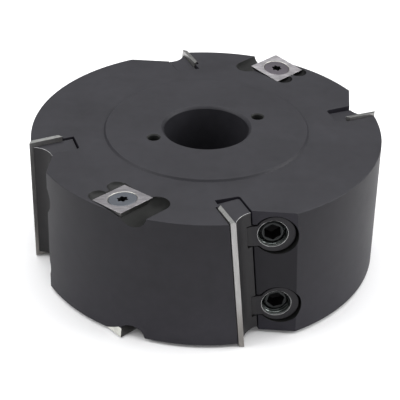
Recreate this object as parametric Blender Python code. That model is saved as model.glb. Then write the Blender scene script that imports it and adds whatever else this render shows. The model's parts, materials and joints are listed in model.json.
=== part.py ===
"""Rebate cutter head: a steel body with a central bore, four straight knives held by lugged wedges and set screws, and two square spurs with countersunk screws on each face."""

import math

import bmesh
import bpy
from mathutils import Matrix, Vector

MM = 0.001

# ---- driving dimensions, millimetres (z = 0 here is the middle of the head, lifted at the end) ----
BODY_R = 61.75
BODY_H = 24.15  # half height of the body at its rim
HUB_H = 25.0  # half height over the raised hubs
HUB_R = 35.6
HUB_FOOT_R = 36.3
BORE_R = 15.0
BORE_CHAMFER = 1.0
RIM_CHAMFER = 0.35
LIFT = 25.24  # the lowest points, the inner corners of the knife ends, stand at z = 0
SEGMENTS = 144

PIN_R = 2.0
PIN_PITCH_R = 20.0
PIN_AZ = 24.0
PIN_DEPTH = 12.0
PIN_CHAMFER = 0.45

STATIONS = ((1, 11.0, -1), (2, 101.0, 1), (3, 191.0, -1), (4, 281.0, 1))  # number, azimuth, shear sign
SHEAR = 4.8
RAKE = 13.0
CUT_R = 62.5
KNIFE_W = 12.0
KNIFE_T = 1.5
KNIFE_BEVEL = 55.0
KNIFE_HALF = 25.0

SEAT_GAP = 0.2
SEAT_STEP = 0.28
FLAT_SLOPE = 0.2755
FLAT_U, FLAT_R = 6.55, 54.87
SLOT_IN_LEFT_R = 46.8
SLOT_IN_RIGHT = (4.5, 45.6)

WEDGE_HALF = 23.3
WEDGE_GAP = 0.4
ARC_U, ARC_R, ARC_RAD = 7.2, 62.4, 7.3

LUG_TILT = 7.4
LUG_WS = (14.0, -14.3)  # upper and lower lug
LUG_U = 13.55
LUG_RAD = 6.85
LUG_DEPTH = 0.6
LUG_THICK = 8.0
NECK_HALF = 3.8
NECK_U = 4.35
POCKET_U = 13.75
POCKET_RAD = 7.35
POCKET_DEPTH = 12.2
HOLE_U = 12.75
HOLE_W = 0.35  # the hole sits a little above the middle of its lug
HOLE_RAD = 4.85
SET_RAD = 4.55
SET_FACE_R = 3.7
SET_TOP = 1.1  # below the lug face
SET_LEN = 9.6
SET_AF = 5.2
SET_SOCKET = 4.6

SPUR_SIDE = 14.0
SPUR_T = 2.3
SPUR_X, SPUR_Y, SPUR_Z = -26.65, -47.84, 24.62
SPUR_LOW_Z = 24.12
SPUR_LOW_TURN = -1.0  # degrees, lower spurs against the upper ones
SPUR_NX, SPUR_NY = -0.066, 0.078
SPUR_DRAFT = 1.3  # the four sides slope in towards the seat
SPUR_HEAD_R = 4.7
SPUR_SINK_R = 5.0
SPUR_HOLE_R = 2.9
SPUR_SCREW_LEN = 9.5
STAR_R = 1.95
POCKET_CLEAR = 0.3
GULLET_R = 4.3
GULLET_X, GULLET_Y = -15.5, -49.7
RELIEF_R = 3.2
RELIEF_OFF = 3.4
RELIEF_OUT = 0.6
RELIEF_DEPTH = 1.8


def clear():
    for obj in list(bpy.data.objects):
        bpy.data.objects.remove(obj, do_unlink=True)


clear()
PARTS = bpy.data.collections.new("rebate_cutter")
CUTTERS = bpy.data.collections.new("cutters")
for col in (PARTS, CUTTERS):
    bpy.context.scene.collection.children.link(col)
CUTTERS.hide_render = True


def material(name, color, metallic, rough):
    mat = bpy.data.materials.new(name)
    mat.use_nodes = True
    bsdf = mat.node_tree.nodes["Principled BSDF"]
    bsdf.inputs["Base Color"].default_value = (*color, 1.0)
    bsdf.inputs["Metallic"].default_value = metallic
    bsdf.inputs["Roughness"].default_value = rough
    mat.diffuse_color = (*color, 1.0)
    return mat


BODY_STEEL = (0.075, 0.078, 0.082)
WEDGE_STEEL = (0.055, 0.06, 0.058)
SCREW_STEEL = (0.09, 0.095, 0.095)
CARBIDE = (0.42, 0.41, 0.42)
SPUR_SCREW = (0.17, 0.18, 0.2)


def new_object(name, bm, collection, lift=True):
    """A mesh object in metres from a bmesh in millimetres."""
    bmesh.ops.recalc_face_normals(bm, faces=bm.faces)
    if sum(f.calc_area() * f.normal.dot(f.calc_center_median()) for f in bm.faces) < 0:
        bmesh.ops.reverse_faces(bm, faces=bm.faces)
    shift = LIFT if lift else 0.0
    for v in bm.verts:
        v.co = Vector((v.co.x * MM, v.co.y * MM, (v.co.z + shift) * MM))
    mesh = bpy.data.meshes.new(name)
    bm.to_mesh(mesh)
    bm.free()
    obj = bpy.data.objects.new(name, mesh)
    collection.objects.link(obj)
    if collection is CUTTERS:
        obj.hide_render = True
        obj.display_type = "WIRE"
    return obj


def frame(az, sign):
    """Columns: tangential (u), axial (w) and radial (r) directions of a station, turned about the radius by the shear."""
    a, s = math.radians(az), math.radians(SHEAR) * sign
    er = Vector((math.cos(a), math.sin(a), 0))
    et = Vector((-math.sin(a), math.cos(a), 0))
    ez = Vector((0, 0, 1))
    u = et * math.cos(s) + ez * math.sin(s)
    w = ez * math.cos(s) - et * math.sin(s)
    return u, w, er


def place(f, u, w, r):
    return f[0] * u + f[1] * w + f[2] * r


def prism(f, outline, w0, w1):
    """The outline (u, r) pushed along w."""
    bm = bmesh.new()
    low = [bm.verts.new(place(f, u, w0, r)) for u, r in outline]
    high = [bm.verts.new(place(f, u, w1, r)) for u, r in outline]
    bm.faces.new(low[::-1])
    bm.faces.new(high)
    n = len(outline)
    for i in range(n):
        j = (i + 1) % n
        bm.faces.new((low[i], low[j], high[j], high[i]))
    return bm


def revolve(axis_point, axis, across, profile, segments, phase=0.0):
    """A turned solid: profile is (radius, distance along the axis), its first and last points on the axis."""
    bm = bmesh.new()
    axis = axis.normalized()
    x = (across - axis * across.dot(axis)).normalized()
    y = axis.cross(x)
    rings = []
    for rad, dist in profile:
        if rad < 1e-6:
            rings.append([bm.verts.new(axis_point + axis * dist)])
            continue
        rings.append(
            [
                bm.verts.new(
                    axis_point
                    + axis * dist
                    + x * (rad * math.cos(phase + 2 * math.pi * k / segments))
                    + y * (rad * math.sin(phase + 2 * math.pi * k / segments))
                )
                for k in range(segments)
            ]
        )
    for a, b in zip(rings, rings[1:]):
        for k in range(segments):
            m = (k + 1) % segments
            if len(a) == 1:
                bm.faces.new((a[0], b[k], b[m]))
            elif len(b) == 1:
                bm.faces.new((a[k], a[m], b[0]))
            else:
                bm.faces.new((a[k], a[m], b[m], b[k]))
    return bm


def box(f, u0, u1, w0, w1, origin, along, out):
    """A block in a frame at origin: u0..u1 along `along`, w0..w1 along the station's w, and depth given in `out`."""
    bm = bmesh.new()
    d0, d1 = out
    normal = f[1].cross(along).normalized()
    if normal.dot(f[2]) < 0:
        normal = -normal
    vs = []
    for d in (d0, d1):
        for a, b in ((u0, w0), (u1, w0), (u1, w1), (u0, w1)):
            vs.append(bm.verts.new(origin + along * a + f[1] * b - normal * d))
    for face in ((0, 1, 2, 3), (4, 5, 6, 7), (0, 1, 5, 4), (1, 2, 6, 5), (2, 3, 7, 6), (3, 0, 4, 7)):
        bm.faces.new([vs[i] for i in face])
    return bm


def boolean(obj, cutter, operation="DIFFERENCE"):
    mod = obj.modifiers.new(f"{operation.lower()} {cutter.name}", "BOOLEAN")
    mod.operation = operation
    mod.object = cutter
    mod.solver = "EXACT"
    return mod


def settle(obj):
    """Puts the modifier results into the mesh and tidies it."""
    graph = bpy.context.evaluated_depsgraph_get()
    mesh = bpy.data.meshes.new_from_object(obj.evaluated_get(graph))
    obj.modifiers.clear()
    obj.data = mesh
    bm = bmesh.new()
    bm.from_mesh(mesh)
    bmesh.ops.remove_doubles(bm, verts=bm.verts, dist=2e-6)
    bmesh.ops.dissolve_degenerate(bm, edges=bm.edges, dist=1e-6)
    bm.to_mesh(mesh)
    bm.free()


def smooth(obj, angle=32):
    for poly in obj.data.polygons:
        poly.use_smooth = True
    obj.data.set_sharp_from_angle(angle=math.radians(angle))


def give(obj, color, metallic, rough):
    obj.data.materials.clear()
    obj.data.materials.append(material(obj.name, color, metallic, rough))


def flat_r(u):
    return FLAT_R + FLAT_SLOPE * (u - FLAT_U)


# rake line of the knife in (u, r): from the tip inwards, and its normal towards the back of the knife
SR, CR = math.sin(math.radians(RAKE)), math.cos(math.radians(RAKE))
TIP = (0.0, CUT_R)
D = (-SR, -CR)
N = (-CR, SR)


def on_rake(along, back):
    return (TIP[0] + D[0] * along + N[0] * back, TIP[1] + D[1] * along + N[1] * back)


def knife_outline():
    run = KNIFE_T / math.tan(math.radians(KNIFE_BEVEL))
    return [on_rake(0, 0), on_rake(run, KNIFE_T), on_rake(KNIFE_W - run, KNIFE_T), on_rake(KNIFE_W, 0)]


def slot_outline():
    step = KNIFE_W + 0.3
    wall = on_rake(step, SEAT_STEP)
    down = (wall[1] - SLOT_IN_LEFT_R) / CR
    return [
        on_rake(-8.0, KNIFE_T + SEAT_GAP),
        on_rake(step, KNIFE_T + SEAT_GAP),
        wall,
        (wall[0] - SR * down, SLOT_IN_LEFT_R),
        SLOT_IN_RIGHT,
        (FLAT_U, FLAT_R),
        (28.0, flat_r(28.0)),
        (28.0, 72.0),
    ]


def wedge_outline():
    top = on_rake(1.4, -SEAT_GAP)
    inner_left = on_rake(15.0, -SEAT_GAP)
    # the right side keeps the gap to the slot wall
    wu, wr = FLAT_U - SLOT_IN_RIGHT[0], FLAT_R - SLOT_IN_RIGHT[1]
    length = math.hypot(wu, wr)
    du, dr = wu / length, wr / length
    off = (-dr * WEDGE_GAP, du * WEDGE_GAP)
    inner_right = (SLOT_IN_RIGHT[0] + off[0] + du * 0.9, SLOT_IN_RIGHT[1] + off[1] + dr * 0.9)
    points = [top, inner_left, inner_right]
    a0 = math.radians(261.5)
    a1 = math.radians(189.5)
    steps = 10
    for k in range(steps + 1):
        a = a0 + (a1 - a0) * k / steps
        points.append((ARC_U + ARC_RAD * math.cos(a), ARC_R + ARC_RAD * math.sin(a)))
    return points


SL = math.radians(LUG_TILT)


def lug_frame(f):
    """Outward axis of the lugs and the direction along their faces."""
    out = (f[2] * math.cos(SL) - f[0] * math.sin(SL)).normalized()
    along = (f[0] * math.cos(SL) + f[2] * math.sin(SL)).normalized()
    return out, along


def lug_point(f, w):
    """The middle of a lug face."""
    out, along = lug_frame(f)
    surface = place(f, LUG_U, w, flat_r(LUG_U))
    return surface - out * LUG_DEPTH


# ---- body ----
def body_profile():
    top, rim = HUB_H, BODY_H
    return [
        (BORE_R, -top + BORE_CHAMFER),
        (BORE_R + BORE_CHAMFER, -top),
        (HUB_R, -top),
        (HUB_FOOT_R, -rim),
        (BODY_R - RIM_CHAMFER, -rim),
        (BODY_R, -rim + RIM_CHAMFER),
        (BODY_R, rim - RIM_CHAMFER),
        (BODY_R - RIM_CHAMFER, rim),
        (HUB_FOOT_R, rim),
        (HUB_R, top),
        (BORE_R + BORE_CHAMFER, top),
        (BORE_R, top - BORE_CHAMFER),
    ]


def ring_solid(name, profile, segments, collection):
    bm = bmesh.new()
    rings = []
    for rad, z in profile:
        rings.append(
            [
                bm.verts.new((rad * math.cos(2 * math.pi * k / segments), rad * math.sin(2 * math.pi * k / segments), z))
                for k in range(segments)
            ]
        )
    for i, a in enumerate(rings):
        b = rings[(i + 1) % len(rings)]
        for k in range(segments):
            m = (k + 1) % segments
            bm.faces.new((a[k], a[m], b[m], b[k]))
    return new_object(name, bm, collection)


body = ring_solid("cutter_body", body_profile(), SEGMENTS, PARTS)


def cut(bm, name):
    boolean(body, new_object(name, bm, CUTTERS))


for i, az in enumerate((PIN_AZ, PIN_AZ + 180)):
    for j, side in enumerate((1, -1)):
        a = math.radians(az)
        p = Vector((PIN_PITCH_R * math.cos(a), PIN_PITCH_R * math.sin(a), HUB_H * side))
        profile = [
            (0, 2.0),
            (PIN_R + PIN_CHAMFER + 2.0, 2.0),
            (PIN_R, -PIN_CHAMFER),
            (PIN_R, -PIN_DEPTH),
            (0, -PIN_DEPTH - 1.0),
        ]
        cut(revolve(p, Vector((0, 0, side)), Vector((1, 0, 0)), profile, 20), f"cut_pin_{i}{j}")

for n, az, sign in STATIONS:
    f = frame(az, sign)
    out, along = lug_frame(f)
    cut(prism(f, slot_outline(), -34, 34), f"cut_slot_{n}")
    for k, w in enumerate(LUG_WS):
        surface = place(f, POCKET_U, w, flat_r(POCKET_U))
        profile = [(0, 9.0), (POCKET_RAD, 9.0), (POCKET_RAD, -POCKET_DEPTH), (0, -POCKET_DEPTH)]
        cut(revolve(surface, out, along, profile, 36, math.pi / 36), f"cut_pocket_{n}{k}")
        origin = place(f, POCKET_U, 0, flat_r(POCKET_U))
        cut(
            box(f, 3.5 - POCKET_U, -1.0, w - NECK_HALF - 0.45, w + NECK_HALF + 0.45, origin, along, (-4.0, POCKET_DEPTH)),
            f"cut_neck_{n}{k}",
        )


def spur_frame(az, side):
    """Columns of a spur: x and y along its edges, z outwards. az turns it about the axis, side is +1 on top and -1 below."""
    nz = math.sqrt(1 - SPUR_NX**2 - SPUR_NY**2)
    z = Vector((SPUR_NX, SPUR_NY, nz))
    x = Vector((1, 1, 0)).normalized()
    x = (x - z * x.dot(z)).normalized()
    y = z.cross(x)
    c = Vector((SPUR_X, SPUR_Y, SPUR_Z if side > 0 else SPUR_LOW_Z))
    m = Matrix.Rotation(math.radians(az), 3, "Z")
    vs = [m @ v for v in (c, x, y, z)]
    if side < 0:
        vs = [Vector((v.x, v.y, -v.z)) for v in vs]
    return vs


def rounded_slab(c, x, y, z, half, half_low, top, bottom, corner=0.0):
    bm = bmesh.new()
    rings = []
    for h, d in ((half, top), (half_low, bottom)):
        ring = []
        for sx, sy in ((1, 1), (-1, 1), (-1, -1), (1, -1)):
            ring.append(bm.verts.new(c + x * (h * sx) + y * (h * sy) + z * d))
        rings.append(ring)
    bm.faces.new(rings[0])
    bm.faces.new(rings[1][::-1])
    for i in range(4):
        j = (i + 1) % 4
        bm.faces.new((rings[0][i], rings[1][i], rings[1][j], rings[0][j]))
    return bm


SPURS = (
    ("top_1", 0.0, 1),
    ("top_2", 180.0, 1),
    ("bottom_1", SPUR_LOW_TURN, -1),
    ("bottom_2", 180.0 + SPUR_LOW_TURN, -1),
)

for name, az, side in SPURS:
    c, x, y, z = spur_frame(az, side)
    turn = Matrix.Rotation(math.radians(az), 3, "Z")
    up = Vector((0, 0, side))
    # seat of the spur
    half = SPUR_SIDE / 2 + POCKET_CLEAR
    slope = SPUR_DRAFT / SPUR_T
    depth = SPUR_T + 0.25
    cut(rounded_slab(c, x, y, z, half + 8.0 * slope, half - depth * slope, 8.0, -depth), f"cut_spur_{name}")
    # gullet ahead of the leading edge: a round-bottomed channel with a ball end
    start = turn @ Vector((GULLET_X, GULLET_Y, 0))
    start.z = (BODY_H + 0.2) * side
    way = turn @ Vector((-1, -1, 0)).normalized()
    steps = 8
    ball = [(0, -GULLET_R)]
    for k in range(1, steps):
        a = math.pi / 2 * (1 - k / steps)
        ball.append((GULLET_R * math.cos(a), -GULLET_R * math.sin(a)))
    ball.append((GULLET_R, 0))
    ball.append((GULLET_R, 34.0))
    ball.append((0, 34.0))
    cut(revolve(start, way, up, ball, 28), f"cut_gullet_{name}")
    # the part of the channel above the face
    side_dir = way.cross(up).normalized()
    bm = bmesh.new()
    pts = []
    for k in range(13):
        a = -math.pi / 2 + math.pi * k / 12
        pts.append(start - way * (GULLET_R * math.cos(a)) + side_dir * (GULLET_R * math.sin(a)))
    pts += [start + way * 34 + side_dir * GULLET_R, start + way * 34 - side_dir * GULLET_R]
    low = [bm.verts.new(p) for p in pts]
    high = [bm.verts.new(p + up * 6) for p in pts]
    bm.faces.new(low)
    bm.faces.new(high[::-1])
    for k in range(len(pts)):
        m = (k + 1) % len(pts)
        bm.faces.new((low[k], low[m], high[m], high[k]))
    cut(bm, f"cut_gullet_up_{name}")
    # reliefs behind the trailing edge
    # the trailing edge lies opposite to the gullet
    gullet_side = 1 if (start - c).dot(y) > 0 else -1
    if abs((start - c).dot(x)) > abs((start - c).dot(y)):
        gullet_side = 1 if (start - c).dot(x) > 0 else -1
        edge_dir, over = y, -x * gullet_side
    else:
        edge_dir, over = x, -y * gullet_side
    for k, s in enumerate((-1, 1)):
        p = c + over * (SPUR_SIDE / 2 + RELIEF_OUT) + edge_dir * (s * RELIEF_OFF)
        p.z = BODY_H * side
        profile = [
            (0, 3.0),
            (RELIEF_R + 0.3, 3.0),
            (RELIEF_R, 0.0),
            (RELIEF_R - 0.4, -0.45 * RELIEF_DEPTH),
            (RELIEF_R - 1.1, -0.82 * RELIEF_DEPTH),
            (RELIEF_R - 2.0, -RELIEF_DEPTH),
            (0, -RELIEF_DEPTH),
        ]
        cut(revolve(p, up, Vector((1, 0, 0)), profile, 20), f"cut_relief_{name}_{k}")
    # tapped hole
    profile = [(0, 1.0), (2.6, 1.0), (2.6, -SPUR_SCREW_LEN - 1.5), (0, -SPUR_SCREW_LEN - 2.5)]
    cut(revolve(c, z, x, profile, 20), f"cut_tap_{name}")

settle(body)
smooth(body)
give(body, BODY_STEEL, 0.9, 0.55)


# ---- knives ----
for n, az, sign in STATIONS:
    f = frame(az, sign)
    knife = new_object(f"knife_{n}", prism(f, knife_outline(), -KNIFE_HALF, KNIFE_HALF), PARTS)
    give(knife, CARBIDE, 0.8, 0.35)


# ---- wedges with their lugs ----
for n, az, sign in STATIONS:
    f = frame(az, sign)
    out, along = lug_frame(f)
    wedge = new_object(f"wedge_{n}", prism(f, wedge_outline(), -WEDGE_HALF, WEDGE_HALF), PARTS)
    for k, w in enumerate(LUG_WS):
        face = lug_point(f, w)
        centre = face - f[1] * w
        # step down to the neck
        step = box(f, NECK_U - LUG_U, 1.0, w - NECK_HALF - 0.35, w + NECK_HALF + 0.35, centre, along, (-6.0, 0.0))
        boolean(wedge, new_object(f"cut_step_{n}{k}", step, CUTTERS))
        for m, s in enumerate((-1, 1)):
            mid = w + s * (NECK_HALF + 0.17)
            slit = box(f, NECK_U - LUG_U, -4.0, mid - 0.2, mid + 0.2, centre, along, (-5.0, 1.0))
            boolean(wedge, new_object(f"cut_slit_{n}{k}{m}", slit, CUTTERS))
        neck = box(f, 5.4 - LUG_U, -1.0, w - NECK_HALF, w + NECK_HALF, centre, along, (0.04, LUG_THICK - 0.06))
        boolean(wedge, new_object(f"add_neck_{n}{k}", neck, CUTTERS), "UNION")
        profile = [(0, 0), (LUG_RAD - 0.35, 0), (LUG_RAD, -0.35), (LUG_RAD, -LUG_THICK), (0, -LUG_THICK)]
        disc = revolve(face, out, along, profile, 36, math.pi / 36)
        boolean(wedge, new_object(f"add_lug_{n}{k}", disc, CUTTERS), "UNION")
    for k, w in enumerate(LUG_WS):
        face = lug_point(f, w) + along * (HOLE_U - LUG_U) + f[1] * HOLE_W
        profile = [(0, 1.0), (HOLE_RAD + 1.2, 1.0), (HOLE_RAD, -0.2), (HOLE_RAD, -LUG_THICK - 1), (0, -LUG_THICK - 1)]
        hole = revolve(face, out, along, profile, 32)
        boolean(wedge, new_object(f"cut_hole_{n}{k}", hole, CUTTERS))
    settle(wedge)
    smooth(wedge)
    give(wedge, WEDGE_STEEL, 0.9, 0.5)
    # set screws
    for k, w in enumerate(LUG_WS):
        face = lug_point(f, w) + along * (HOLE_U - LUG_U) + f[1] * HOLE_W
        top = face - out * SET_TOP
        profile = [
            (0, 0),
            (SET_FACE_R, 0),
            (SET_RAD, SET_FACE_R - SET_RAD),
            (SET_RAD, -SET_LEN + 0.8),
            (SET_RAD - 0.9, -SET_LEN),
            (0, -SET_LEN),
        ]
        screw = new_object(f"wedge_screw_{n}{'ab'[k]}", revolve(top, out, along, profile, 32), PARTS)
        corner = SET_AF / math.sqrt(3)
        profile = [(0, 1.0), (corner, 1.0), (corner, -SET_SOCKET), (0, -SET_SOCKET - 0.9)]
        socket = revolve(top, out, along, profile, 6, math.radians(20))
        boolean(screw, new_object(f"cut_socket_{n}{k}", socket, CUTTERS))
        profile = [(0, 0.5), (corner + 0.85, 0.5), (corner - 0.3, -0.65), (0, -0.65)]
        mouth = revolve(top, out, along, profile, 24)
        boolean(screw, new_object(f"cut_mouth_{n}{k}", mouth, CUTTERS))
        settle(screw)
        smooth(screw)
        give(screw, SCREW_STEEL, 0.9, 0.45)


# ---- spurs and their screws ----
for name, az, side in SPURS:
    c, x, y, z = spur_frame(az, side)
    plate = new_object(
        f"spur_{name}",
        rounded_slab(c, x, y, z, SPUR_SIDE / 2, SPUR_SIDE / 2 - SPUR_DRAFT, 0.0, -SPUR_T),
        PARTS,
    )
    profile = [
        (0, 1.0),
        (SPUR_SINK_R + 0.3, 1.0),
        (SPUR_SINK_R, 0.0),
        (SPUR_SINK_R - 0.08, -0.3),
        (SPUR_HOLE_R, -2.0),
        (SPUR_HOLE_R, -SPUR_T - 1),
        (0, -SPUR_T - 1),
    ]
    sink = revolve(c, z, x, profile, 36)
    boolean(plate, new_object(f"cut_sink_{name}", sink, CUTTERS))
    settle(plate)
    give(plate, CARBIDE, 0.8, 0.35)
    profile = [
        (0, -0.05),
        (SPUR_HEAD_R - 0.12, -0.05),
        (SPUR_HEAD_R, -0.16),
        (2.4, -2.1),
        (2.3, -2.6),
        (2.3, -SPUR_SCREW_LEN + 0.5),
        (1.9, -SPUR_SCREW_LEN),
        (0, -SPUR_SCREW_LEN),
    ]
    screw = new_object(f"spur_screw_{name}", revolve(c, z, x, profile, 32), PARTS)
    # six-lobed recess
    bm = bmesh.new()
    low, high = [], []
    for k in range(36):
        a = 2 * math.pi * k / 36
        rad = STAR_R * (0.86 + 0.14 * math.cos(6 * a))
        p = c + x * (rad * math.cos(a)) + y * (rad * math.sin(a))
        low.append(bm.verts.new(p - z * 2.2))
        high.append(bm.verts.new(p + z * 0.5))
    bm.faces.new(low[::-1])
    bm.faces.new(high)
    for k in range(36):
        m = (k + 1) % 36
        bm.faces.new((low[k], low[m], high[m], high[k]))
    boolean(screw, new_object(f"cut_star_{name}", bm, CUTTERS))
    settle(screw)
    smooth(screw)
    give(screw, SPUR_SCREW, 0.9, 0.4)
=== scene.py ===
"""Looks of a rebate cutter head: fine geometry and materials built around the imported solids."""

import json
import math

import bmesh
import bpy
from mathutils import Matrix, Vector

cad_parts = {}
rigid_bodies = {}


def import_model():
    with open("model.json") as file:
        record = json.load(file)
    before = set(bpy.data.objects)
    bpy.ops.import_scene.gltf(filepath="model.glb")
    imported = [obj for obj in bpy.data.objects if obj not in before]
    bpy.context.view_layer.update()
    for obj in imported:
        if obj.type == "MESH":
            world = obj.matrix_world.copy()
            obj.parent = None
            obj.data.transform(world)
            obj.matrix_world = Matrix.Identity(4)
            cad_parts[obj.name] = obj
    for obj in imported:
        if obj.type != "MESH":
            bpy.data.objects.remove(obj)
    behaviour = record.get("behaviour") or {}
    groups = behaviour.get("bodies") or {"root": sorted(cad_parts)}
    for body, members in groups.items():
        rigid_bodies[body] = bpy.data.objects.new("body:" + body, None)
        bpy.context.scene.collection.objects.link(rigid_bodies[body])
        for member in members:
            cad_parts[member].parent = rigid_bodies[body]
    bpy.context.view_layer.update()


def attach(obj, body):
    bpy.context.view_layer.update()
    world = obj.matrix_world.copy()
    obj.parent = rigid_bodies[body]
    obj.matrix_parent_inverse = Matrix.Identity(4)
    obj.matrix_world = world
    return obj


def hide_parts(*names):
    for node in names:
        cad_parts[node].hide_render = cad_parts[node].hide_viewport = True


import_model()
MM = 0.001

# ---------------------------------------------------------------- dimensions, millimetres
BODY_R, BODY_H = 61.75, 24.15
HUB_H, HUB_R, HUB_FOOT_R = 25.0, 35.6, 36.3
BORE_R, BORE_CHAMFER = 15.0, 1.0
LIFT = 25.24
SEGMENTS = 300

PIN_R, PIN_PITCH_R, PIN_AZ, PIN_DEPTH, PIN_CHAMFER = 2.0, 20.0, 24.0, 12.0, 0.45

SHEAR, RAKE, CUT_R = 4.8, 13.0, 62.5
KNIFE_W, KNIFE_T, KNIFE_BEVEL, KNIFE_HALF = 12.0, 1.5, 55.0, 25.0
SEAT_GAP, SEAT_STEP = 0.2, 0.28
FLAT_SLOPE, FLAT_U, FLAT_R = 0.2755, 6.55, 54.87
SLOT_IN_LEFT_R, SLOT_IN_RIGHT = 46.8, (4.5, 45.6)
WEDGE_HALF, WEDGE_GAP = 23.3, 0.4
ARC_U, ARC_R, ARC_RAD = 7.2, 62.4, 7.3

LUG_TILT, LUG_WS, LUG_U, LUG_RAD, LUG_DEPTH, LUG_THICK = 7.4, (14.0, -14.3), 13.55, 6.85, 0.6, 8.0
NECK_HALF, NECK_U = 3.8, 4.35
POCKET_U, POCKET_RAD, POCKET_DEPTH = 13.75, 7.35, 12.2
HOLE_U, HOLE_W, HOLE_RAD = 12.75, 0.35, 4.85
SET_RAD, SET_FACE_R, SET_TOP, SET_LEN, SET_AF, SET_SOCKET = 4.5, 3.45, 1.1, 9.6, 5.3, 4.6
SET_TURNS, SET_SINKS = (30, 12), (0.0, 0.9)
PITCH = 1.25

SPUR_SIDE, SPUR_T = 14.0, 2.3
SPUR_X, SPUR_Y, SPUR_Z, SPUR_LOW_Z, SPUR_LOW_TURN = -26.65, -47.84, 24.62, 24.12, -1.0
SPUR_NX, SPUR_NY = -0.066, 0.078
SPUR_DRAFT, SPUR_HEAD_R, SPUR_SINK_R, SPUR_HOLE_R, SPUR_SCREW_LEN, STAR_R = 1.3, 4.74, 4.94, 2.9, 9.5, 1.95
POCKET_CLEAR = 0.3
GULLET_R, GULLET_X, GULLET_Y = 4.3, -15.5, -49.7
RELIEF_R, RELIEF_OFF, RELIEF_OUT, RELIEF_DEPTH = 3.2, 4.0, 0.5, 1.4

STATIONS = ((1, 11.0, -1), (2, 101.0, 1), (3, 191.0, -1), (4, 281.0, 1))
SPURS = (
    ("top_1", 0.0, 1),
    ("top_2", 180.0, 1),
    ("bottom_1", SPUR_LOW_TURN, -1),
    ("bottom_2", 180.0 + SPUR_LOW_TURN, -1),
)

scene_collection = bpy.context.scene.collection
CUTTERS = bpy.data.collections.new("cutters")
scene_collection.children.link(CUTTERS)
SR, CR = math.sin(math.radians(RAKE)), math.cos(math.radians(RAKE))
TILT = math.radians(LUG_TILT)


# ---------------------------------------------------------------- mesh helpers
def lifted(p):
    return Vector((p.x * MM, p.y * MM, (p.z + LIFT) * MM))


def new_object(name, bm, collection=None, closed=True):
    if closed:
        bmesh.ops.recalc_face_normals(bm, faces=bm.faces)
        if sum(f.calc_area() * f.normal.dot(f.calc_center_median()) for f in bm.faces) < 0:
            bmesh.ops.reverse_faces(bm, faces=bm.faces)
    for v in bm.verts:
        v.co = lifted(v.co)
    mesh = bpy.data.meshes.new(name)
    bm.to_mesh(mesh)
    bm.free()
    obj = bpy.data.objects.new(name, mesh)
    (collection or scene_collection).objects.link(obj)
    return obj


def frame_of(az, sign):
    a, s = math.radians(az), math.radians(SHEAR) * sign
    er = Vector((math.cos(a), math.sin(a), 0))
    et = Vector((-math.sin(a), math.cos(a), 0))
    ez = Vector((0, 0, 1))
    return et * math.cos(s) + ez * math.sin(s), ez * math.cos(s) - et * math.sin(s), er


def place(f, u, w, r):
    return f[0] * u + f[1] * w + f[2] * r


def prism(f, outline, w0, w1):
    bm = bmesh.new()
    low = [bm.verts.new(place(f, u, w0, r)) for u, r in outline]
    high = [bm.verts.new(place(f, u, w1, r)) for u, r in outline]
    bm.faces.new(low[::-1])
    bm.faces.new(high)
    n = len(outline)
    for i in range(n):
        j = (i + 1) % n
        bm.faces.new((low[i], low[j], high[j], high[i]))
    return bm


def rings_to_mesh(rings, close_ends=True):
    """Joins rings of points (a ring of one point is a pole) into a skin."""
    bm = bmesh.new()
    made = [[bm.verts.new(p) for p in ring] for ring in rings]
    for a, b in zip(made, made[1:]):
        n = max(len(a), len(b))
        for k in range(n):
            m = (k + 1) % n
            if len(a) == 1:
                bm.faces.new((a[0], b[k], b[m]))
            elif len(b) == 1:
                bm.faces.new((a[k], a[m], b[0]))
            else:
                bm.faces.new((a[k], a[m], b[m], b[k]))
    return bm


def revolve(point, axis, across, profile, segments, phase=0.0):
    axis = axis.normalized()
    x = (across - axis * across.dot(axis)).normalized()
    y = axis.cross(x)
    rings = []
    for rad, dist in profile:
        if rad < 1e-6:
            rings.append([point + axis * dist])
            continue
        rings.append(
            [
                point
                + axis * dist
                + x * (rad * math.cos(phase + 2 * math.pi * k / segments))
                + y * (rad * math.sin(phase + 2 * math.pi * k / segments))
                for k in range(segments)
            ]
        )
    return rings_to_mesh(rings)


def threaded(point, axis, across, radius, depth, top, bottom, segments, per_pitch=8, fade=0.0, ends=()):
    """A cylinder with a helical thread between two depths along the axis; ends are extra (radius, distance) rings before and after."""
    axis = axis.normalized()
    x = (across - axis * across.dot(axis)).normalized()
    y = axis.cross(x)
    before, after = ends
    rings = []

    def ring(rad_of, dist):
        pts = []
        for k in range(segments):
            a = 2 * math.pi * k / segments
            rad = rad_of(a)
            pts.append(point + axis * dist + x * (rad * math.cos(a)) + y * (rad * math.sin(a)))
        return pts

    for rad, dist in before:
        rings.append([point + axis * dist] if rad < 1e-6 else ring(lambda a, rad=rad: rad, dist))
    steps = max(2, int(round(abs(bottom - top) / PITCH * per_pitch)))
    for i in range(steps + 1):
        dist = top + (bottom - top) * i / steps
        near = min(abs(dist - top), abs(dist - bottom))
        gain = 1.0 if fade <= 0 else min(1.0, near / fade)

        def rad_of(a, dist=dist, gain=gain):
            phase = (dist / PITCH + a / (2 * math.pi)) % 1.0
            tri = abs(2 * phase - 1)
            tri = min(1.0, max(0.0, (tri - 0.08) / 0.8))
            return radius + depth * gain * (tri - 1.0)

        rings.append(ring(rad_of, dist))
    for rad, dist in after:
        rings.append([point + axis * dist] if rad < 1e-6 else ring(lambda a, rad=rad: rad, dist))
    return rings_to_mesh(rings)


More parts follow.
